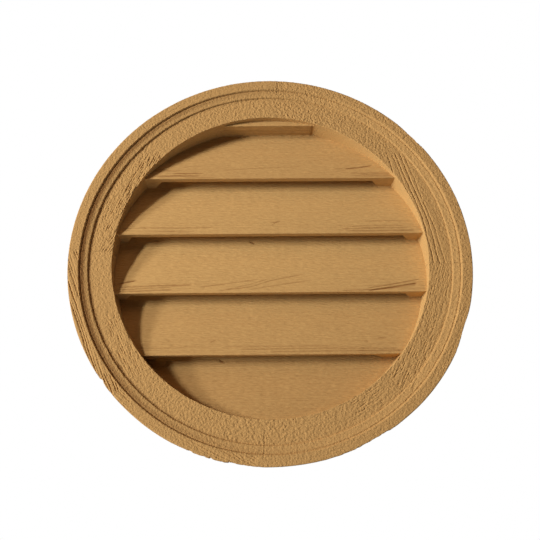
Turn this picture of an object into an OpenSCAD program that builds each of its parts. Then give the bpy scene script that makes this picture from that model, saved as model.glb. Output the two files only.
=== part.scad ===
// Round louvred gable vent, moulded in one piece.
// X runs to the right, Y into the wall and Z up. The wall's outer face is the plane Y = 0,
// and the origin is the centre of the wall opening in that plane.

/* [Opening] */
// Diameter of the opening that the louvres fill
bore_d = 441; // [380:1:520]
// Thickness of the collar round the opening, behind the wall's outer face
collar_wall = 11.5; // [8:0.5:16]

/* [Trim ring] */
// Thickness of the flat ring in front of the wall
flange_t = 22; // [16:1:30]
// Width of the flat ring
flat_w = 32; // [24:1:44]
// Width of the cove between the two steps
cove_w = 11.5; // [8:0.5:16]
// Width of the raised band round the outside
band_w = 16; // [10:0.5:24]
// Height of the step from the flat ring up to the cove
inner_step = 1.2; // [0.6:0.1:3]
// Rise of the cove from its inner to its outer edge
cove_rise = 3.6; // [2:0.1:6]
// Height of the step from the cove up to the raised band
rim_step = 1.4; // [0.6:0.1:3]
// Width over which each step slopes
step_run = 1.2; // [0.6:0.1:2]
// Radius of the cove's hollow
cove_r = 39; // [20:1:80]
// Rounding of the raised band's outer edge
edge_r = 2; // [1:0.5:4]
// Rounding of the opening's front edge
arris_r = 1; // [0.5:0.25:2]

/* [Louvres] */
// Distance from one louvre's lip to the next
pitch = 86; // [70:1:100]
// How far the lips lie behind the flat ring's front
lip_set_back = 6; // [3:0.5:10]
// How far each louvre's face runs back over one pitch
face_run = 29.5; // [24:0.5:34]
// Thickness of a louvre, measured straight into the wall
blade_t = 10.5; // [8:0.5:13]
// How far a louvre rises behind the lip of the one above it
rain_lap = 12; // [6:1:20]
// Least height of a ledge at the top of the opening
ledge_min = 6; // [4:1:12]

/* [Air slots] */
// Distance from the opening's wall to the slot ends, at the louvre's rear edge
slot_inset = 22.5; // [16:0.5:32]
// Angle at which the slot ends open out towards the back
slot_flare = 25; // [10:1:30]
// Sideways shift of all slots
slot_shift = -4; // [-6:0.5:6]

/* [Hidden] */
$fn = 180;
arc_steps = 8;
overshoot = 2;
tan_colour = [0.73, 0.57, 0.34];

bore_r = bore_d / 2;
collar_r = bore_r + collar_wall;
cove_in_r = bore_r + flat_w;
band_in_r = cove_in_r + cove_w;
ring_r = band_in_r + band_w;
band_front = flange_t + inner_step + cove_rise + rim_step;

// Lips start at the foot of the opening and repeat upwards while they still cross it
lip_y = lip_set_back - flange_t;
lip_count = floor((bore_d - ledge_min) / pitch) + 1;
function lip_z(i) = i * pitch - bore_r;

// Each blade leans back and rises behind the lip above it, and the collar ends at its back
lean = face_run / pitch;
blade_height = pitch + rain_lap;
collar_len = lip_y + blade_height * lean + blade_t;

// The louvres reach this far into the ring around them
root_r = bore_r + collar_wall / 2;
core_r = bore_r - slot_inset;

// Points on an arc from one angle to another, its two ends left out
function arc_between(centre, r, from, to) =
    [for (i = [1:arc_steps - 1])
        let (a = from + (to - from) * i / arc_steps)
        centre + r * [cos(a), sin(a)]];

// Points of a rounded corner, its two ends included
function corner(centre, r, from, to) = concat(
    [centre + r * [cos(from), sin(from)]],
    arc_between(centre, r, from, to),
    [centre + r * [cos(to), sin(to)]]);

// Points of a hollow curve of radius r from p to q, its two ends left out
function hollow(p, q, r) =
    let (chord = norm(q - p),
         across_chord = [p[1] - q[1], q[0] - p[0]] / chord,
         centre = (p + q) / 2 + across_chord * sqrt(r * r - chord * chord / 4))
    arc_between(centre, r, atan2(p[1] - centre[1], p[0] - centre[0]),
                           atan2(q[1] - centre[1], q[0] - centre[0]));

cove_foot = [cove_in_r + step_run / 2, flange_t + inner_step];
cove_head = [band_in_r - step_run / 2, flange_t + inner_step + cove_rise];

// Section of the ring: distance from the axis, then height in front of the wall
ring_section = concat(
    [[collar_r, -collar_len], [bore_r, -collar_len]],
    corner([bore_r + arris_r, flange_t - arris_r], arris_r, 180, 90),
    [[cove_in_r - step_run / 2, flange_t], cove_foot],
    hollow(cove_foot, cove_head, cove_r),
    [cove_head, [band_in_r + step_run / 2, band_front]],
    corner([ring_r - edge_r, band_front - edge_r], edge_r, 90, 0),
    [[ring_r, 0], [collar_r, 0]]);

// Side view of the louvres' fronts, closed at the collar's end: depth, then height
panel_top = root_r + overshoot;
lips_and_faces = [for (i = [0:lip_count - 1], is_lip = [true, false])
    is_lip ? [lip_y, lip_z(i)]
           : i < lip_count - 1 ? [lip_y + face_run, lip_z(i + 1)]
                               : [lip_y + (panel_top - lip_z(i)) * lean, panel_top]];
panel_side = concat(
    [[collar_len, -panel_top], [lip_y, -panel_top]],
    lips_and_faces,
    [[collar_len, panel_top]]);

// Side view of the space behind one blade, with its mouth under the lip at height z
function pocket_side(z) = [
    [lip_y + blade_t, z],
    [lip_y + face_run, z],
    [lip_y + blade_height * lean, z + rain_lap],
    [collar_len + overshoot, z + rain_lap],
    [collar_len + overshoot, z + blade_height + overshoot / lean]];

// Turns a side view into a bar along X, centred on the axis
module across(points, length) {
    rotate([90, 0, 90])
        linear_extrude(height = length, center = true)
            polygon(points);
}

// Trim ring in front of the wall, with the collar behind it
module ring() {
    rotate([90, 0, 0])
        rotate_extrude()
            polygon(ring_section);
}

// Flared core whose side forms the ends of all slots
module core() {
    depth = collar_len + overshoot - lip_y - blade_t;
    translate([slot_shift, lip_y + blade_t, 0])
        rotate([-90, 0, 0])
            cylinder(h = depth, r1 = core_r, r2 = core_r + depth * tan(slot_flare));
}

// Space behind each blade, which opens to the front as an air slot under the lip
module pockets() {
    intersection() {
        core();
        for (i = [0:lip_count - 1])
            if (lip_z(i) < core_r)
                across(pocket_side(lip_z(i)), 2 * panel_top);
    }
}

// Louvre blades with the closed gussets at their ends
module louvres() {
    difference() {
        intersection() {
            across(panel_side, 2 * panel_top);
            translate([0, lip_y, 0])
                rotate([-90, 0, 0])
                    cylinder(h = collar_len - lip_y, r = root_r);
        }
        pockets();
    }
}

module vent() {
    color(tan_colour)
        union() {
            ring();
            louvres();
        }
}

vent();
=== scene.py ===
"""Round louvred gable vent, moulded from a timber master and painted a matt tan.

Sizes are in millimetres (X right, Y into the wall, Z up) and become metres where a mesh is
made. Angles round the ring are in degrees, anticlockwise from +X as seen from the front.
"""

import math

import bmesh
import bpy
import numpy as np
from mathutils import Matrix, Vector


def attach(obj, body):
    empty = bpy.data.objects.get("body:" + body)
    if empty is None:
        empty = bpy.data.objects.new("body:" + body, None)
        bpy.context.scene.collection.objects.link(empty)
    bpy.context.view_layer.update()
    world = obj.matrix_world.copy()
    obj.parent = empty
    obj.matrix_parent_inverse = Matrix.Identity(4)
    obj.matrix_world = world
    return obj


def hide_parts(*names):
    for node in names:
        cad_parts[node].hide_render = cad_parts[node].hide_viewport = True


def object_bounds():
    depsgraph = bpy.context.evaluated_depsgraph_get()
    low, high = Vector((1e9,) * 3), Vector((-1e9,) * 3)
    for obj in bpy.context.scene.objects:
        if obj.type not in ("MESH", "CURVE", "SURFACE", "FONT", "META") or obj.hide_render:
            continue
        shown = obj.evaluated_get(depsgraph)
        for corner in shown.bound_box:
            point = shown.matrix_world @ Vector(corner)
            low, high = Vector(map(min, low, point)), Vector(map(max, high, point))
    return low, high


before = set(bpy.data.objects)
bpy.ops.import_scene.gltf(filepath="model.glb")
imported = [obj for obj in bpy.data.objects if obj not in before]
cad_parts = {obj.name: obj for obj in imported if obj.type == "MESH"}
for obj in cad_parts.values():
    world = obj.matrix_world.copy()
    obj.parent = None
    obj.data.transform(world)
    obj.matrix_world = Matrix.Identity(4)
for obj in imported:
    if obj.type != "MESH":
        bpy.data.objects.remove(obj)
cad_low, cad_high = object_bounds()

MM = 0.001

# Ring section: radii, and heights in front of the wall
RING_R = cad_high.x / MM
REAR_Y = cad_high.y / MM
BAND_FRONT = -cad_low.y / MM
BORE_R = 220.5
COLLAR_R = 232.0
FLAT_FRONT = 22.0
FLAT_END = 252.5
EDGE_R = 1.5
ARRIS_R = 0.6
# Side view of the cove from the flat ring's edge outwards: the step, the hollow between two
# points, and the small dip at its head
COVE_STEP = [(FLAT_END, FLAT_FRONT), (253.3, 23.7), (253.8, 24.1), (254.4, 24.25)]
COVE_FOOT = (255.2, 24.3)
COVE_TOP = (262.0, 25.75)
COVE_HOLLOW_R = 30.0
COVE_DIP = [(262.5, 25.7), (263.1, 25.4)]
BAND_IN_R = 263.6
# Side view of the step from the cove up to the raised band
BAND_STEP = [(BAND_IN_R, 25.3), (264.3, 26.5), (264.8, 27.5), (265.2, 27.95), (265.8, BAND_FRONT)]
# How far one ring runs on under the next, and where the collar takes over behind them
TUCK = 0.6
SEAM_FRONT = 9.0
SEAM_LAP = 0.3
# How far the first step is worn back at the upper left, at which angle and how far round
STEP_WORN = 0.6
STEP_WORN_ANGLE = 135
STEP_WORN_HALF = 28

# Louvres
LIP_Y = -16.0
PITCH = 86.0
FACE_RUN = 29.5
LEAN = FACE_RUN / PITCH
BLADE_T = 10.5
RAIN_LAP = 12.0
LIP_COUNT = 6
LEDGE = LIP_COUNT - 1
LIP_R = 0.6
# How far each lip hangs below its even place, from the foot up
LIP_SAG = (0.0, 1.0, 0.9, 0.5, 0.3, 0.0)
# Height of the ledge's face, up to where the opening's wall hides it
LEDGE_FACE = 14.0
# Height up to which a louvre's face has fine rows of points, the rows' steps below and above
# it, and how many points each row has
FINE_ROWS_TOP = 27.0
FINE_ROW = 0.62
COARSE_ROW = 1.1
PANEL_COLUMNS = 196
# Crack in the ledge's lip: place across and half width
CRACK_X = 66.5
CRACK_HALF = 1.6

# Air slots
CORE_R = 198.0
SLOT_SHIFT = -4.0
FLARE = math.tan(math.radians(25))

# The timber master's ring was built from eight boards, turned a little from upright
BOARD_COUNT = 8
BOARD_ANGLE = 360 / BOARD_COUNT
BOARD_TURN = -2.5
# Sets the grain of one board or one louvre off from the next one's
BOARD_SHIFT = 517.0
LOUVRE_SHIFT = 731.0

# The paint's colour, and what it darkens to where its tone is darker and where shade is painted
# into hollows and beside the steps
TAN = (0.562, 0.342, 0.125)
DARK = (0.230, 0.100, 0.028)
# Colour of the weak lamp that fills the shadows
WARM = (1.0, 0.60, 0.36)
# How much darker the ring's paint is all over than the louvres', from 0 to 1, left off the
# opening's wall
RING_DARK = 0.235
# Painted shade and dirt in deep grain, and the steps' painted shadow on the left at the first
# step's foot and in the cove, on the side centred at this angle with this half width
GRAIN_SHADE_AND_DIRT = 0.35
FOOT_SHADOW = 0.45
COVE_SHADOW = 0.54
SHADOW_SIDE_ANGLE = 175
SHADOW_SIDE_HALF = 60
# How dark each louvre's paint is all over, from the foot up
LOUVRE_DARK = (0.24, 0.12, 0.0, 0.0, 0.10, 0.10)

# Rays that see the surroundings as plain white
WHITE_RAYS = ("Is Camera Ray", "Is Glossy Ray", "Is Transmission Ray")


def lattice(ix, iy, seed):
    """Random values from -1 to 1 at whole-number places, the same on every run."""
    h = ix.astype(np.int64) * 374761393 + iy.astype(np.int64) * 668265263 + seed * 974634777
    h = (h ^ (h >> 13)) * 1274126177
    h = (h ^ (h >> 16)) & 0xFFFFFF
    return h / 0x7FFFFF - 1.0


def noise(x, y, seed):
    """Smooth random values from -1 to 1, one bump per unit of x and y."""
    x, y = np.broadcast_arrays(np.asarray(x, float), np.asarray(y, float))
    ix, iy = np.floor(x), np.floor(y)
    fx, fy = x - ix, y - iy
    sx, sy = fx * fx * (3 - 2 * fx), fy * fy * (3 - 2 * fy)
    low = lattice(ix, iy, seed) * (1 - sx) + lattice(ix + 1, iy, seed) * sx
    high = lattice(ix, iy + 1, seed) * (1 - sx) + lattice(ix + 1, iy + 1, seed) * sx
    return low * (1 - sy) + high * sy


def smooth(low, high, value):
    """0 below low, 1 above high and a smooth ramp between them."""
    t = np.clip((value - low) / (high - low), 0, 1)
    return t * t * (3 - 2 * t)


def bell(value, width):
    """1 where the value is 0, falling softly to either side over about the width."""
    return np.exp(-((value / width) ** 2))


def window(value, span, fade):
    """1 inside the span and 0 outside it, with soft ends."""
    start, end = span
    begun = smooth(start - fade, start + fade, value)
    return begun * (1 - smooth(end - fade, end + fade, value))


def turn_from(middle, angle):
    """Angle from the middle on to the given angle, from -180 to 180."""
    return (angle - middle + 180) % 360 - 180


def lines(u, v, pitch, width, length, seed):
    """Depth from 0 to 1 of broken grooves that run along u and repeat across v."""
    wander = 0.35 * noise(u / (9 * pitch), v / (5 * pitch), seed)
    wander = wander + 0.14 * noise(u / (2.5 * pitch), v / pitch, seed + 1)
    place = v / pitch + wander
    row = np.floor(place)
    off = place - row - 0.5 - 0.25 * lattice(row, row * 0, seed + 2)
    here = 0.5 + 1.1 * noise(u / length + 5.3 * row, row * 3.7, seed + 3)
    return bell(off * pitch, width) * np.clip(here, 0, 1)


def pits(u, v, size, seed):
    """Depth from 0 to 1 of a rough, pitted surface."""
    turned_u, turned_v = 0.8 * u + 0.6 * v, 0.8 * v - 0.6 * u
    rough = noise(turned_u / size, turned_v / size, seed)
    rough = rough + 0.5 * noise(u / size * 1.7, v / size * 1.7, seed + 1)
    return np.clip(0.5 + 0.8 * rough, 0, 1)


def groove(u, v, path, width, fade):
    """Depth from 0 to 1 of a single groove along the path's points, fading at its ends."""
    along, across = zip(*path)
    middle = np.interp(u, along, across) + 0.25 * noise(u / 7, across[0], 5)
    return bell(v - middle, width) * window(u, (along[0], along[-1]), fade)


# Kinds of grain by name
KINDS = {
    "pits": lambda u, v: pits(u, v, 1.8, 21),
    "bumps": lambda u, v: pits(u, v, 2.15, 25),
    "lines": lambda u, v: lines(u, v, 2.7, 0.90, 9, 11),
    "dashes": lambda u, v: lines(u, v, 2.8, 0.95, 6, 31),
    "fine": lambda u, v: lines(u, v, 2.4, 0.80, 14, 41),
    "ridges": lambda u, v: lines(u, v, 3.3, 1.05, 60, 51),
}

# Grain by board, counted anticlockwise from the right: kind, stretch along the board, stretch
# across it (distance from the ring's centre), slope of the lines and depth
PATCHES = [
    (0, "pits", (-130, 130), (205, 281), 0.0, 0.48),
    (0, "fine", (-120, 120), (238, 262), 0.35, 0.38),
    (0, "fine", (-70, 60), (264, 281), 0.5, 0.45),
    (1, "pits", (-130, 130), (205, 281), 0.0, 0.85),
    (1, "bumps", (10, 130), (205, 262), 0.0, 0.47),
    (2, "pits", (-130, 130), (205, 281), 0.0, 0.65),
    (2, "bumps", (-130, 60), (215, 250), 0.0, 0.41),
    (2, "fine", (20, 90), (252, 281), 0.1, 0.45),
    (3, "lines", (-80, 60), (206, 234), 0.01, 1.03),
    (3, "dashes", (60, 92), (203, 220), -0.12, 1.09),
    (3, "pits", (-130, 130), (205, 281), 0.0, 0.65),
    (3, "fine", (-85, 85), (235, 250), 0.15, 0.45),
    (3, "fine", (-85, 85), (262, 281), 0.3, 0.45),
    (4, "lines", (0, 92), (203, 240), 0.09, 0.75),
    (4, "pits", (-130, 130), (205, 281), 0.0, 0.58),
    (4, "fine", (30, 90), (245, 263), 0.12, 0.60),
    (5, "pits", (-130, 130), (205, 281), 0.0, 0.65),
    (5, "bumps", (15, 130), (205, 281), 0.0, 0.38),
    (6, "pits", (-130, 130), (205, 281), 0.0, 0.63),
    (6, "bumps", (-130, -15), (205, 262), 0.0, 0.34),
    (6, "dashes", (25, 70), (214, 245), 0.25, 0.72),
    (7, "dashes", (-93, 0), (203, 250), -0.03, 0.85),
    (7, "dashes", (0, 93), (203, 245), 0.08, 0.58),
    (7, "pits", (-130, 130), (205, 281), 0.0, 0.58),
    (7, "fine", (-70, 80), (250, 281), -0.04, 0.45),
]
# How strong these are outside the flat ring, by board
OUTER_GRAIN = (1.15, 0.9, 0.72, 0.58, 0.68, 0.62, 0.62, 0.85)

# Long ridges in the raised band: board, stretch along it, slope and depth
BAND_RIDGES = [
    (4, (-102, 104), 0.03, 1.35),
    (5, (-108, -84), -0.32, 0.80),
    (5, (-45, 95), -0.06, 1.00),
    (6, (-40, 5), -0.10, 0.30),
]

# Joints between boards: angle and depth
JOINTS = [
    (-2.5, 0.9),
    (42.5, 0.35),
    (267.5, 0.7),
    (312.5, 0.45),
    (132.5, 0.15),
    (222.5, 0.15),
]
JOINT_HALF = 0.6

# Single grooves in the flat ring: board, points (along, across), width and depth
GROOVES = [
    (0, [(-93, 225.2), (-60, 230.2), (-42, 233.7), (-14, 235.1), (2, 235.2)], 0.75, 0.8),
    (0, [(6, 235.4), (25, 237.0), (44, 238.5), (82, 239.5)], 0.70, 0.6),
    (0, [(-94, 217.2), (-70, 221.0), (-50, 226.0), (-26, 229.5), (3, 231.1), (37, 232.0),
         (72, 234.0), (86, 234.8)], 0.85, 1.1),
    (0, [(-94, 209.2), (-68, 214.6), (-47, 218.0), (-33, 221.9), (-12, 224.6), (17, 225.7),
         (46, 226.1), (86, 228.4)], 0.85, 1.1),
    (0, [(10, 221.6), (34, 219.9), (47, 221.6), (78, 223.1), (88, 223.7)], 0.75, 0.6),
    (0, [(57, 212.8), (73, 215.1), (85, 216.5)], 0.80, 1.0),
]

# Places where the outer edge is worn back: angle, half width in degrees and depth
WORN_EDGES = [
    (338, 4.5, 2.2),
    (295, 8.5, 1.1),
    (277, 9.0, 0.9),
    (308, 4.0, 0.4),
    (228, 9.0, 0.3),
    (42, 4.0, 1.1),
    (27, 11.0, 0.5),
    (39, 1.0, 0.4),
    (353, 7.0, 0.4),
    (8, 8.0, 0.3),
]
# Notches in it: angle of the sheer end, angle of the shallow end and depth
NOTCHES = [
    (258.2, 268.0, 1.3),
    (302.2, 292.0, 1.3),
    (216.6, 219.0, 2.2),
    (247.3, 248.6, 1.2),
    (253.2, 254.6, 1.4),
]
# Stretches where it is ragged: angle, half width and depth
RAGGED_EDGES = [
    (253, 11.0, 0.7),
    (295, 12.0, 0.5),
    (40, 8.0, 0.6),
    (335, 5.0, 0.4),
    (219, 4.0, 0.5),
]

# Single scratches in the louvres' faces: louvre counted from the foot, points (across the vent
# from its middle, up the face from its lip), width and depth
SCRATCHES = [
    (4, [(-169, 15.8), (-150, 16.0), (-133, 15.6)], 0.9, 0.35),
    (4, [(-166, 19.2), (-150, 19.4)], 0.9, 0.3),
    (4, [(-128, 23.0), (-112, 25.0), (-100, 24.0)], 0.8, 0.25),
    (4, [(-142, 10.2), (-124, 10.8), (-98, 10.8)], 0.9, 0.5),
    (4, [(-165, 6.2), (-135, 6.4), (-104, 6.0)], 0.9, 0.5),
    (4, [(-124, 2.8), (-80, 3.4)], 0.8, 0.3),
    (4, [(-68, 16.3), (-17, 20.2), (45, 23.0)], 0.7, 0.25),
    (4, [(113, 18.2), (125, 19.8), (138, 21.3), (151, 24.1)], 0.9, 0.7),
    (4, [(97, 18.4), (108, 18.8)], 0.8, 0.35),
    (4, [(120, 10.0), (150, 9.4), (178, 8.9)], 0.8, 0.35),
    (4, [(134, 7.6), (178, 6.8)], 0.8, 0.35),
    (4, [(120, 4.6), (180, 4.2)], 0.8, 0.35),
    (3, [(-211, 10.8), (-178, 12.2), (-136, 11.6), (-83, 12.2)], 0.8, 0.35),
    (3, [(-200, 5.0), (-150, 5.6), (-110, 5.0)], 0.8, 0.2),
    (3, [(3.0, 15.8), (6.0, 19.6), (14, 22.9)], 1.0, 0.6),
    (3, [(139, 21.6), (170, 22.6), (205, 21.0)], 0.8, 0.25),
    (3, [(117, 12.8), (150, 13.6), (190, 13.2)], 0.8, 0.3),
    (3, [(105, 8.6), (150, 9.4), (195, 9.4)], 0.9, 0.4),
    (3, [(112, 4.6), (205, 5.2)], 0.9, 0.4),
    (2, [(-211, 16.0), (-200, 18.6), (-189, 21.3)], 1.0, 0.7),
    (2, [(-209, 10.4), (-160, 12.4), (-111, 13.2)], 0.9, 0.5),
    (2, [(-206, 7.0), (-170, 8.6), (-139, 9.6)], 0.8, 0.45),
    (2, [(-208, 3.0), (-170, 4.6), (-139, 5.6)], 0.8, 0.45),
    (2, [(-97, 9.8), (-52, 16.4), (-18, 21.5)], 0.8, 0.35),
    (2, [(-72, 3.5), (-28, 9.6), (0, 19.4), (44, 29.0)], 0.8, 0.35),
    (2, [(-60, 6.0), (-30, 13.0), (-4, 22.0)], 0.8, 0.3),
    (2, [(-28, 5.5), (17, 13.3), (56, 19.4)], 0.8, 0.3),
    (2, [(136, 2.6), (165, 7.4), (202, 13.4)], 0.9, 0.8),
    (2, [(136, 6.6), (168, 12.0), (208, 20.0)], 0.8, 0.5),
    (2, [(100, 2.4), (150, 4.0), (200, 10.5)], 0.8, 0.35),
    (1, [(-84, 18.0), (-80, 20.4), (-76, 22.0)], 0.9, 0.4),
    (1, [(-60, 12.0), (0, 12.6), (80, 12.0)], 0.8, 0.22),
    (1, [(-40, 8.4), (60, 8.8), (170, 8.2)], 0.8, 0.3),
    (1, [(0, 4.4), (90, 5.0), (175, 4.4)], 0.8, 0.3),
    (1, [(146, 23.0), (156, 24.0)], 0.9, 0.4),
    (2, [(-31, 86.0), (-27, 83.6), (-23, 81.6)], 1.0, 1.2),
    (0, [(-75, 86.0), (-71, 82.6), (-66, 79.0)], 1.1, 1.3),
]

# Small pits in the louvres' faces: louvre, place across, height up the face, size and depth
FACE_PITS = [
    (4, -124, 10.8, 1.7, 0.9),
    (1, 130, 19.0, 1.8, 0.7),
    (3, -178, 12.0, 1.5, 0.5),
    (1, -139, 20.5, 2.6, 0.5),
    (1, -133, 15.0, 2.2, 0.5),
    (2, 201, 13.0, 2.0, 0.8),
]


def board_place(x, z):
    """Board number, and the place along and across that board, for points of the ring."""
    turned = (np.degrees(np.arctan2(z, x)) - BOARD_TURN) % 360
    board = np.floor(turned / BOARD_ANGLE).astype(int) % BOARD_COUNT
    middle = np.radians(BOARD_TURN + (board + 0.5) * BOARD_ANGLE)
    along = z * np.cos(middle) - x * np.sin(middle)
    across = x * np.cos(middle) + z * np.sin(middle)
    off_joint = turned - np.round(turned / BOARD_ANGLE) * BOARD_ANGLE
    return board, along, across, np.radians(off_joint) * np.hypot(x, z)


def board_grain(kind, board, u, v, slope):
    """Depth from 0 to 1 of a kind of grain at places along and across a board."""
    return KINDS[kind](u + BOARD_SHIFT * board, v + slope * u)


def ring_relief(x, z, radius):
    """Depth of the grain in the ring's front."""
    board, along, across, _ = board_place(x, z)
    depth = np.zeros_like(x)
    outside = smooth(FLAT_END, FLAT_END + 2, radius)
    softer = 1 - outside + outside * np.array(OUTER_GRAIN)[board]
    for number, kind, along_span, across_span, slope, deep in PATCHES:
        here = board == number
        u, v = along[here], across[here]
        patch = window(u, along_span, 7) * window(v, across_span, 2.5) * softer[here]
        depth[here] += deep * patch * board_grain(kind, number, u, v, slope)
    on_band = smooth(BAND_IN_R + 2, BAND_IN_R + 3.5, radius)
    for number, span, slope, deep in BAND_RIDGES:
        here = board == number
        u, v = along[here], across[here]
        ridges = window(u, span, 5) * board_grain("ridges", number, u, v, slope)
        depth[here] += deep * on_band[here] * ridges
    in_flat = 1 - smooth(FLAT_END - 1.5, FLAT_END - 0.5, radius)
    for number, path, width, deep in GROOVES:
        here = board == number
        depth[here] += deep * (in_flat[here] * groove(along[here], across[here], path, width, 2.5))
    turned = np.degrees(np.arctan2(z, x))
    for angle, deep in JOINTS:
        off = np.radians(turn_from(angle, turned)) * radius
        joint = bell(off + 0.3 * noise(radius / 3, 0, 72), JOINT_HALF)
        depth += deep * joint * np.clip(0.6 + noise(radius / 5, angle, 71), 0, 1)
    return depth


def edge_wear(angle):
    """How far the outer edge lies inside the true circle."""
    wear = 0.10 * noise(angle / 6, 0, 81)
    for middle, half, depth in WORN_EDGES:
        wear = wear + depth * bell(turn_from(middle, angle), half)
    for sheer, shallow, depth in NOTCHES:
        part = (angle - sheer) / (shallow - sheer)
        wear = wear + depth * (part > 0) * np.clip(1 - part, 0, 1)
    teeth = 0.2 + 1.3 * noise(angle / 0.75, 0, 82) + 0.5 * noise(angle / 0.3, 0, 83)
    for middle, half, depth in RAGGED_EDGES:
        wear = wear + depth * bell(turn_from(middle, angle), half) * np.clip(teeth, 0, 1)
    return np.clip(wear, 0, None)


def corner(centre, radius, start, end, steps):
    """Points of a round corner, both ends included."""
    angles = np.radians(np.linspace(start, end, steps + 1))
    return [(centre[0] + radius * math.cos(a), centre[1] + radius * math.sin(a)) for a in angles]


def straight(start, end, step):
    """Points from start towards end, about one step apart, the end left out."""
    count = max(1, round(math.dist(start, end) / step))
    across, up = end[0] - start[0], end[1] - start[1]
    return [(start[0] + across * i / count, start[1] + up * i / count) for i in range(count)]


def hollow(start, end, radius, count):
    """Points of a hollow curve from start towards end, the end left out."""
    chord = math.dist(start, end)
    side = math.sqrt(radius ** 2 - chord ** 2 / 4) / chord
    cx = (start[0] + end[0]) / 2 + (start[1] - end[1]) * side
    cy = (start[1] + end[1]) / 2 + (end[0] - start[0]) * side
    first = math.atan2(start[1] - cy, start[0] - cx)
    last = math.atan2(end[1] - cy, end[0] - cx)
    angles = [first + (last - first) * i / count for i in range(count)]
    return [(cx + radius * math.cos(a), cy + radius * math.sin(a)) for a in angles]


def grid_quads(rows, cols, wrap_rows, wrap_cols):
    """Quads of a grid of rows times cols points, which may close on itself both ways."""
    r = np.arange(rows if wrap_rows else rows - 1)
    c = np.arange(cols if wrap_cols else cols - 1)
    rr, cc = np.meshgrid(r, c, indexing="ij")
    row, next_row = rr * cols, (rr + 1) % rows * cols
    next_cc = (cc + 1) % cols
    quads = [row + cc, row + next_cc, next_row + next_cc, next_row + cc]
    return np.stack(quads, -1).reshape(-1, 4)


def solid(name, points, faces):
    """A closed mesh with its faces turned outwards."""
    mesh = bpy.data.meshes.new(name)
    mesh.from_pydata((np.asarray(points) * MM).tolist(), [], faces)
    shape = bmesh.new()
    shape.from_mesh(mesh)
    bmesh.ops.recalc_face_normals(shape, faces=shape.faces)
    shape.to_mesh(mesh)
    shape.free()
    piece = bpy.data.objects.new(name, mesh)
    bpy.context.scene.collection.objects.link(piece)
    return piece


def mark_tone_and_painted_shade(piece, marks):
    """Keeps how dark the paint is at each point, from 0 to 1, painted shade included."""
    layer = piece.data.attributes.new("wear", "FLOAT", "POINT")
    layer.data.foreach_set("value", np.ascontiguousarray(marks, np.float32).ravel())


def worn_radius(r, h, angle):
    """Radius of points of the ring, h in front of the wall, after the wear of its edges."""
    off_rim = smooth(RING_R - 4, RING_R, r) * edge_wear(angle)
    wave = np.clip(0.4 * noise(angle / 1.7, 0, 91) + 0.3 * noise(angle / 5, 0, 92), 0, 1)
    off_bore = 0.5 * wave * smooth(12, FLAT_FRONT, h) * (1 - smooth(BORE_R + 1, BORE_R + 4, r))
    at_steps = bell(r - BAND_IN_R, 2) + bell(r - FLAT_END, 2)
    ripple = 0.12 * noise(angle / 1.6, r / 30, 93) * at_steps
    off_step = STEP_WORN * bell(angle - STEP_WORN_ANGLE, STEP_WORN_HALF) * bell(r - FLAT_END, 2.5)
    return r - off_rim + off_bore + ripple - off_step


def ring_darkness(r, h, angle, depth, front):
    """How dark the ring's paint is, from its tone, the painted shade and dirt in deep grain, and
    the steps' painted shadow on the left.
    """
    in_opening = (r < BORE_R + 0.3) * (h < FLAT_FRONT - 0.3)
    # Painted shadow of the steps on the left side: at the first step's foot and in the cove
    shadow_at_foot = FOOT_SHADOW * bell(r - FLAT_END + 1.1, 1.5) * (r < FLAT_END + 0.7)
    shadow_in_cove = COVE_SHADOW * smooth(256, 261, r) * (1 - smooth(BAND_IN_R, BAND_IN_R + 1, r))
    shadow_side = bell(angle - SHADOW_SIDE_ANGLE, SHADOW_SIDE_HALF) * front
    marks = RING_DARK * (1 - in_opening) + GRAIN_SHADE_AND_DIRT * smooth(0.9, 2.2, depth)
    return np.clip(marks + shadow_side * (shadow_at_foot + shadow_in_cove), 0, 1)


def turned_piece(name, section, columns):
    """A ring turned from a closed section of radii and heights in front of the wall, with the
    grain cut into its front."""
    section = np.array(section)
    angle = np.linspace(0, 360, columns, endpoint=False)
    turn = np.radians(angle)
    r, h = section[:, :1], section[:, 1:]
    x, z = r * np.cos(turn), r * np.sin(turn)
    front = smooth(FLAT_FRONT - 3, FLAT_FRONT - 0.5, h) * (r < RING_R - 0.1)
    depth = ring_relief(x, z, np.broadcast_to(r, x.shape)) * front
    worn = worn_radius(r, h, angle)
    points = np.stack([worn * np.cos(turn), depth - h, worn * np.sin(turn)], -1).reshape(-1, 3)
    piece = solid(name, points, grid_quads(len(section), columns, True, True).tolist())
    mark_tone_and_painted_shade(piece, ring_darkness(r, h, angle, depth, front))
    return piece


def collar():
    """The collar, the rear of the opening's wall and the wall side of the trim ring."""
    inner, outer = BORE_R + 0.02, BAND_IN_R + TUCK - 0.1
    front = SEAM_FRONT + SEAM_LAP
    section = straight((inner, -REAR_Y), (inner, front), 4)
    section += [(inner, front), (outer, front), (outer, 0.5), (outer - 0.4, 0.0)]
    section += straight((outer - 2, 0.0), (COLLAR_R, 0.0), 10)
    section += straight((COLLAR_R, 0.0), (COLLAR_R, -REAR_Y), 6)
    section += [(COLLAR_R, -REAR_Y)]
    return turned_piece("collar", section, columns=360)


def flat_ring():
    """The front of the opening's wall and the flat ring, to the foot of the first step."""
    section = [(BORE_R + 2, SEAM_FRONT)]
    section += straight((BORE_R, SEAM_FRONT), (BORE_R, FLAT_FRONT - ARRIS_R), 2.1)
    section += corner((BORE_R + ARRIS_R, FLAT_FRONT - ARRIS_R), ARRIS_R, 180, 90, 4)
    section += straight((BORE_R + ARRIS_R + 0.5, FLAT_FRONT), (FLAT_END + TUCK, FLAT_FRONT), 0.70)
    section += [(FLAT_END + TUCK, FLAT_FRONT), (FLAT_END + TUCK, SEAM_FRONT)]
    return turned_piece("flat_ring", section, columns=1640)


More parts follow.
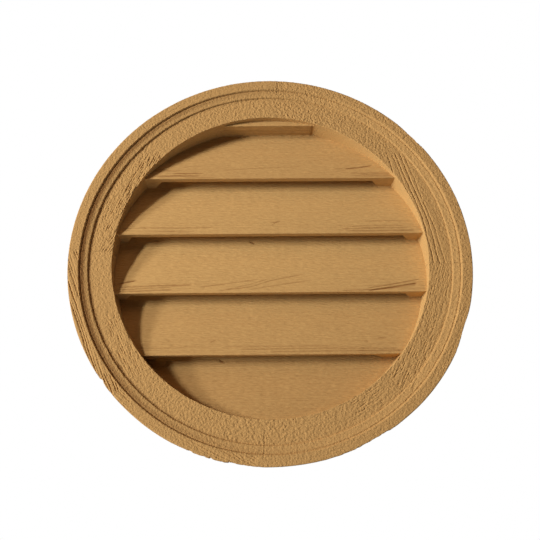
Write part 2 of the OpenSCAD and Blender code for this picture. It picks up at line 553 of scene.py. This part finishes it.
def cove():
    """The first step and the hollow between it and the raised band."""
    section = [(FLAT_END, SEAM_FRONT), (FLAT_END, FLAT_FRONT - 1)] + COVE_STEP
    section += hollow(COVE_FOOT, COVE_TOP, COVE_HOLLOW_R, 10)
    section += [COVE_TOP] + COVE_DIP
    head = BAND_STEP[0][1]
    section += [(BAND_IN_R, head), (BAND_IN_R + TUCK, head), (BAND_IN_R + TUCK, SEAM_FRONT)]
    return turned_piece("cove", section, columns=2000)


def raised_band():
    """The raised band round the outside, with the outer edge and its share of the wall side."""
    section = [(BAND_IN_R, 0.5), (BAND_IN_R, BAND_STEP[0][1] - 1)] + BAND_STEP[:-1]
    section += straight(BAND_STEP[-1], (RING_R - EDGE_R, BAND_FRONT), 0.60)
    section += corner((RING_R - EDGE_R, BAND_FRONT - EDGE_R), EDGE_R, 90, 0, 4)
    section += straight((RING_R, BAND_FRONT - EDGE_R - 1.5), (RING_R, 0.4), 3.5)
    section += [(RING_R, 0.4), (RING_R - 0.4, 0.0)]
    section += straight((RING_R - 2, 0.0), (BAND_IN_R + TUCK, 0.0), 6)
    section += [(BAND_IN_R + TUCK - 0.1, 0.0)]
    return turned_piece("raised_band", section, columns=2080)


def lip_z(i):
    """Height of a lip, counted from the foot."""
    return i * PITCH - BORE_R - LIP_SAG[i]


def face_relief(face, x, h):
    """Depth of the grain in a louvre's face, h up from its lip, and how dark the paint is there,
    with painted shade in its grooves, scratches and pits.
    """
    u = x + LOUVRE_SHIFT * face
    low = 1 - smooth(6, 30, h)
    sides = 0.3 + 0.7 * smooth(50, 160, np.abs(x))
    all_over = lines(u, h, 2.2, 0.6, 22, 111)
    near_lip = low * sides * lines(u, h, 3.0, 0.7, 30, 121)
    depth = 0.24 * all_over + 0.50 * near_lip + 0.24 * pits(u / 1.8, h, 1.7, 131)
    # Painted shade in the grain's grooves, most near the lip, on top of each louvre's tone
    dark = 0.11 * all_over + 0.26 * near_lip + np.array(LOUVRE_DARK)[face.astype(int)]
    # Scratches and pits are cut in and have painted shade in them
    for number, path, width, deep in SCRATCHES:
        fade = min(3.0, 0.2 * (path[-1][0] - path[0][0]))
        cut_in = (face == number) * groove(x, h, path, width, fade)
        depth = depth + 1.2 * deep * cut_in
        dark = dark + 1.15 * deep * cut_in
    for number, px, ph, size, deep in FACE_PITS:
        hollow_place = (face == number) * bell(np.hypot(x - px, h - ph), size)
        depth = depth + deep * hollow_place
        dark = dark + 0.3 * deep * hollow_place
    return depth, np.clip(dark, 0, 1)


def panel_path():
    """Side view of the louvres' front from the foot up.

    Each point has its depth, height, louvre, height up the louvre's face, and whether it is on
    a face, on a lip or under it.
    """
    rows = []
    for i in range(LIP_COUNT):
        z = lip_z(i)
        if i > 0:
            under = np.linspace(LIP_Y + FACE_RUN - 0.8, LIP_Y + LIP_R, 17 if i == LEDGE else 9)
            rows += [(y, z, i, 0.0, "under") for y in under]
        for a in np.radians((65, 40, 15)):
            y_lip = LIP_Y + LIP_R - LIP_R * math.cos(a)
            z_lip = z + LIP_R - LIP_R * math.sin(a)
            rows.append((y_lip, z_lip, i, 0.0, "lip"))
        top = LEDGE_FACE if i == LEDGE else lip_z(i + 1) - z
        heights = np.concatenate([np.arange(LIP_R, min(top, FINE_ROWS_TOP), FINE_ROW),
                                  np.arange(FINE_ROWS_TOP, top - 0.6, COARSE_ROW)])
        rows += [(LIP_Y + h * LEAN, z + h, i, h, "face") for h in heights]
    return rows


def louvre_slab():
    """The louvres as one closed bar with the grain in its sawtooth front."""
    rows = panel_path()
    half = BORE_R + 4.0
    cols = np.linspace(-half, half, PANEL_COLUMNS)
    y, z, face, h = (np.array([row[k] for row in rows], float)[:, None] for k in range(4))
    part = np.array([row[4] for row in rows])[:, None]
    x = np.broadcast_to(cols, (len(rows), len(cols)))
    depth, dark = face_relief(face, x, np.broadcast_to(h, x.shape))
    depth = depth * (part == "face")
    dark = dark * (part == "face")
    under_ledge = (part == "under") * (face == LEDGE)
    dark = dark + 0.3 * under_ledge * lines(x, y, 4.5, 1.3, 40, 151)
    crack = under_ledge * bell(x - CRACK_X, CRACK_HALF)
    near_lip = (part == "lip") + (part == "face") * bell(h, 1.5)
    wave = 0.12 * noise(x / 14, face * 9.0, 141) + 0.08 * noise(x / 4, face * 9.0, 142)
    norm = math.hypot(1, LEAN)
    height = z - depth * LEAN / norm + 0.6 * wave * near_lip + 1.5 * crack
    points = np.stack([x, y + depth / norm, height], -1)
    foot, head, head_back, foot_back = (
        np.stack([cols, 0 * cols + edge_y, 0 * cols + edge_z], -1)[None]
        for edge_y, edge_z in ((LIP_Y, -half), (0, half), (REAR_Y, half), (REAR_Y, -half)))
    grid = np.concatenate([foot, points, head, head_back, foot_back])
    count, across = grid.shape[:2]
    total = count * across
    faces = grid_quads(count, across, True, False).tolist()
    faces += [list(range(0, total, across)), list(range(across - 1, total, across))]
    slab = solid("louvre_panel", grid.reshape(-1, 3), faces)
    marks = np.zeros((count, across))
    # Painted shade in the crack in the ledge's lip, on top of the faces' marks
    marks[1:len(rows) + 1] = dark + 0.8 * crack
    mark_tone_and_painted_shade(slab, marks)
    return slab


def bar(name, side_view, half):
    """A closed bar along X with the given side view of depths and heights."""
    count = len(side_view)
    points = [(side * half, y, z) for side in (-1, 1) for y, z in side_view]
    faces = [(i, (i + 1) % count, count + (i + 1) % count, count + i) for i in range(count)]
    faces += [tuple(range(count)), tuple(range(count, 2 * count))]
    return solid(name, points, faces)


def drum(name, near, far, shift):
    """A closed round bar or cone along Y between two ends, each a depth and a radius."""
    sides = 360
    turn = np.linspace(0, 2 * math.pi, sides, endpoint=False)
    ends = [np.stack([shift + r * np.cos(turn), 0 * turn + y, r * np.sin(turn)], -1)
            for y, r in (near, far)]
    faces = grid_quads(2, sides, False, True).tolist()
    faces += [tuple(range(sides)), tuple(range(sides, 2 * sides))]
    return solid(name, np.concatenate(ends), faces)


def cut(piece, tool, operation):
    """Joins a tool to a piece by one Boolean step and deletes the tool."""
    step = piece.modifiers.new("cut", "BOOLEAN")
    step.operation = operation
    step.solver = "MANIFOLD"
    step.object = tool
    bpy.context.view_layer.update()
    done = piece.evaluated_get(bpy.context.evaluated_depsgraph_get())
    mesh = bpy.data.meshes.new_from_object(done)
    piece.modifiers.clear()
    piece.data = mesh
    bpy.data.objects.remove(tool)


def pocket_side(z):
    """Side view of the space behind the blade whose lip is at height z."""
    dip = 3.0
    slack = 0.25
    past = REAR_Y + 2
    back = LIP_Y + BLADE_T
    face = LIP_Y + FACE_RUN + slack
    return [(back, z - dip),
            (face - dip * LEAN, z - dip),
            (face + RAIN_LAP * LEAN, z + RAIN_LAP),
            (past, z + RAIN_LAP),
            (past, z + (past - back) / LEAN),
            (back, z)]


def louvre_panel():
    """The louvre blades with their air slots and the closed corners at the slots' ends."""
    panel = louvre_slab()
    # The panel runs a little way into the opening's wall, so that no gap shows
    root_r = BORE_R + 1.5
    cut(panel, drum("root", (LIP_Y - 5, root_r), (REAR_Y + 5, root_r), 0), "INTERSECT")
    near, far = LIP_Y + BLADE_T - 4, REAR_Y + 2
    core = [(y, CORE_R + (y - LIP_Y - BLADE_T) * FLARE) for y in (near, far)]
    for i in range(LEDGE):
        pocket = bar("pocket", pocket_side(lip_z(i)), BORE_R + 10)
        cut(pocket, drum("core", *core, SLOT_SHIFT), "INTERSECT")
        cut(panel, pocket, "DIFFERENCE")
    return panel


def add_node(nodes, kind, **values):
    """A shader node with the named inputs set, an underscore standing for a space."""
    node = nodes.new(kind)
    for name, value in values.items():
        node.inputs[name.replace("_", " ")].default_value = value
    return node


def paint():
    """Matt tan paint, darker where its tone is darker and where shade is painted into hollows and
    beside the steps, with a fine texture along the grain.
    """
    material = bpy.data.materials.new("tan_paint")
    material.use_nodes = True
    nodes, links = material.node_tree.nodes, material.node_tree.links
    shader = nodes["Principled BSDF"]
    shader.inputs["Roughness"].default_value = 0.9
    shader.inputs["Specular IOR Level"].default_value = 0.12

    # Slow change of the tan over the whole vent
    place = nodes.new("ShaderNodeTexCoord")
    uneven = add_node(nodes, "ShaderNodeTexNoise", Scale=28, Detail=3)
    links.new(place.outputs["Object"], uneven.inputs["Vector"])
    tint = nodes.new("ShaderNodeMix")
    tint.data_type = "RGBA"
    tint.inputs["A"].default_value = (*(c * 0.95 for c in TAN), 1)
    tint.inputs["B"].default_value = (*(c * 1.05 for c in TAN), 1)
    links.new(uneven.outputs["Fac"], tint.inputs["Factor"])

    # Fine texture, which gives both a dark speckle and a slight roughness
    grain_place = nodes.new("ShaderNodeUVMap")
    grain_place.uv_map = "grain"
    fine = add_node(nodes, "ShaderNodeTexNoise", Scale=620, Detail=1.5, Roughness=0.6)
    links.new(grain_place.outputs["UV"], fine.inputs["Vector"])
    speckle = add_node(nodes, "ShaderNodeMapRange",
                       From_Min=0.3, From_Max=0.7, To_Min=0.24, To_Max=0.0)
    links.new(fine.outputs["Fac"], speckle.inputs["Value"])
    bump = add_node(nodes, "ShaderNodeBump", Strength=0.8, Distance=0.001)
    links.new(fine.outputs["Fac"], bump.inputs["Height"])
    links.new(bump.outputs["Normal"], shader.inputs["Normal"])

    # The wear attribute holds the darker tone together with the shade painted into hollows and
    # beside the steps
    wear = nodes.new("ShaderNodeAttribute")
    wear.attribute_name = "wear"
    darkness = nodes.new("ShaderNodeMath")
    darkness.operation = "ADD"
    darkness.use_clamp = True
    links.new(wear.outputs["Fac"], darkness.inputs[0])
    links.new(speckle.outputs["Result"], darkness.inputs[1])
    shade = nodes.new("ShaderNodeMix")
    shade.data_type = "RGBA"
    shade.inputs["B"].default_value = (*DARK, 1)
    links.new(darkness.outputs[0], shade.inputs["Factor"])
    links.new(tint.outputs["Result"], shade.inputs["A"])
    links.new(shade.outputs["Result"], shader.inputs["Base Color"])
    return material


def map_grain(piece):
    """Lays the paint's fine texture along the grain, stretched more on the louvres."""
    mesh = piece.data
    co = np.empty(len(mesh.vertices) * 3)
    mesh.vertices.foreach_get("co", co)
    x, y, z = co[0::3], co[1::3], co[2::3]
    # Across the grain the map runs on into the depth, so that no wall gets streaks
    if piece.name == "louvre_panel":
        along = x * 0.2
        across = z * 0.83 + y * 0.5
    else:
        board, along, across, _ = board_place(x, z)
        along = along * 0.8 + board
        across = across + y * 0.6
    corner_vertex = np.empty(len(mesh.loops), int)
    mesh.loops.foreach_get("vertex_index", corner_vertex)
    places = np.stack([along, across], -1)[corner_vertex]
    mesh.uv_layers.new(name="grain").data.foreach_set("uv", places.ravel())


def finish_piece(piece, material):
    """Gives a piece its paint and ties it to the frame."""
    mesh = piece.data
    mesh.materials.clear()
    mesh.materials.append(material)
    mesh.polygons.foreach_set("use_smooth", np.ones(len(mesh.polygons), bool))
    mesh.set_sharp_from_angle(angle=math.radians(40))
    map_grain(piece)
    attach(piece, "root")
    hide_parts("vent")


def camera():
    """The photograph's view, fitted to the ring's outlines and the louvres' lips."""
    azimuth, elevation, roll = (math.radians(a) for a in (-0.74, -17.24, -0.64))
    eye = Vector((-12.1, -852.5, -276.5)) * MM
    focal_px = 628.2
    image_px = 540
    ahead = Vector((-math.sin(azimuth) * math.cos(elevation),
                    math.cos(azimuth) * math.cos(elevation),
                    -math.sin(elevation)))
    right = ahead.cross(Vector((0, 0, 1))).normalized()
    up = right.cross(ahead)
    turned_right = right * math.cos(roll) + up * math.sin(roll)
    turned_up = up * math.cos(roll) - right * math.sin(roll)
    data = bpy.data.cameras.new("view")
    data.sensor_width = 36
    data.lens = focal_px / image_px * data.sensor_width
    cam = bpy.data.objects.new("view", data)
    axes = Matrix((turned_right, turned_up, -ahead)).transposed()
    cam.matrix_world = Matrix.Translation(eye) @ axes.to_4x4()
    bpy.context.scene.collection.objects.link(cam)
    bpy.context.scene.camera = cam


def lamp_place(turn, lean, distance):
    """A place this far away, at an angle round the vent from its right and one off its axis."""
    turn, lean = math.radians(turn), math.radians(lean)
    aside = math.sin(lean)
    towards = Vector((aside * math.cos(turn), -math.cos(lean), aside * math.sin(turn)))
    return towards * distance


def lamp(name, place, long_side, size, power, colour=(1, 1, 1)):
    """A soft lamp that faces the vent, with its length along long_side."""
    data = bpy.data.lights.new(name, "AREA")
    data.shape = "RECTANGLE"
    data.size, data.size_y = size
    data.energy = power
    data.color = colour
    back = Vector(place).normalized()
    across = back.cross(Vector(long_side)).normalized()
    axes = Matrix((across.cross(back), across, back)).transposed()
    light = bpy.data.objects.new(name, data)
    light.matrix_world = Matrix.Translation(place) @ axes.to_4x4()
    bpy.context.scene.collection.objects.link(light)


def white_switch(nodes, links):
    """A value of 1 for rays that see the white surroundings and 0 for those that light the vent."""
    rays = nodes.new("ShaderNodeLightPath")
    first, *others = WHITE_RAYS
    total = rays.outputs[first]
    for kind in others:
        either = nodes.new("ShaderNodeMath")
        either.operation = "MAXIMUM"
        links.new(total, either.inputs[0])
        links.new(rays.outputs[kind], either.inputs[1])
        total = either.outputs[0]
    return total


def studio():
    """Two lamps on the left, weak ones above, at the right and behind, and pale surroundings."""
    upright, level = (0, 0, 1), (1, 0, 0)
    lamp("key", lamp_place(169, 51, 3.9), upright, (1.1, 0.35), 125)
    lamp("low_key", lamp_place(182, 63, 3.9), upright, (0.9, 0.5), 106)
    lamp("top", lamp_place(90, 45, 3.9), level, (3.0, 3.0), 27, WARM)
    lamp("side", lamp_place(350, 106, 3.0), upright, (1.0, 1.0), 42)
    lamp("rear", lamp_place(215, 140, 2.6), upright, (1.5, 1.5), 30)
    world = bpy.data.worlds.new("surroundings")
    bpy.context.scene.world = world
    world.use_nodes = True
    nodes, links = world.node_tree.nodes, world.node_tree.links
    back = nodes["Background"]
    back.inputs["Color"].default_value = (1, 1, 1, 1)
    # Nearly dark for the light on the vent, and plain white where it is seen
    strength = add_node(nodes, "ShaderNodeMapRange", To_Min=0.003, To_Max=1.0)
    links.new(white_switch(nodes, links), strength.inputs["Value"])
    links.new(strength.outputs["Result"], back.inputs["Strength"])
    bpy.context.scene.view_settings.view_transform = "Standard"


def floor():
    """A wide pale floor well below the vent, seen as white but still able to take a shadow."""
    half, level = 16.0, -3.2
    mesh = bpy.data.meshes.new("floor")
    corners = [(x * half, y * half, level) for x, y in ((-1, -1), (1, -1), (1, 1), (-1, 1))]
    mesh.from_pydata(corners, [], [(0, 1, 2, 3)])
    ground = bpy.data.objects.new("floor", mesh)
    bpy.context.scene.collection.objects.link(ground)
    material = bpy.data.materials.new("pale_floor")
    material.use_nodes = True
    nodes, links = material.node_tree.nodes, material.node_tree.links
    matt = nodes["Principled BSDF"]
    matt.inputs["Base Color"].default_value = (0.85, 0.85, 0.85, 1)
    matt.inputs["Roughness"].default_value = 0.9
    matt.inputs["Emission Color"].default_value = (1, 1, 1, 1)
    # Its own glow lifts the lit floor to white where it is seen, and lights nothing
    glow = nodes.new("ShaderNodeMath")
    glow.operation = "MULTIPLY"
    glow.inputs[1].default_value = 0.75
    links.new(white_switch(nodes, links), glow.inputs[0])
    links.new(glow.outputs[0], matt.inputs["Emission Strength"])
    mesh.materials.append(material)


tan_paint = paint()
for build in (collar, flat_ring, cove, raised_band, louvre_panel):
    finish_piece(build(), tan_paint)
camera()
studio()
floor()
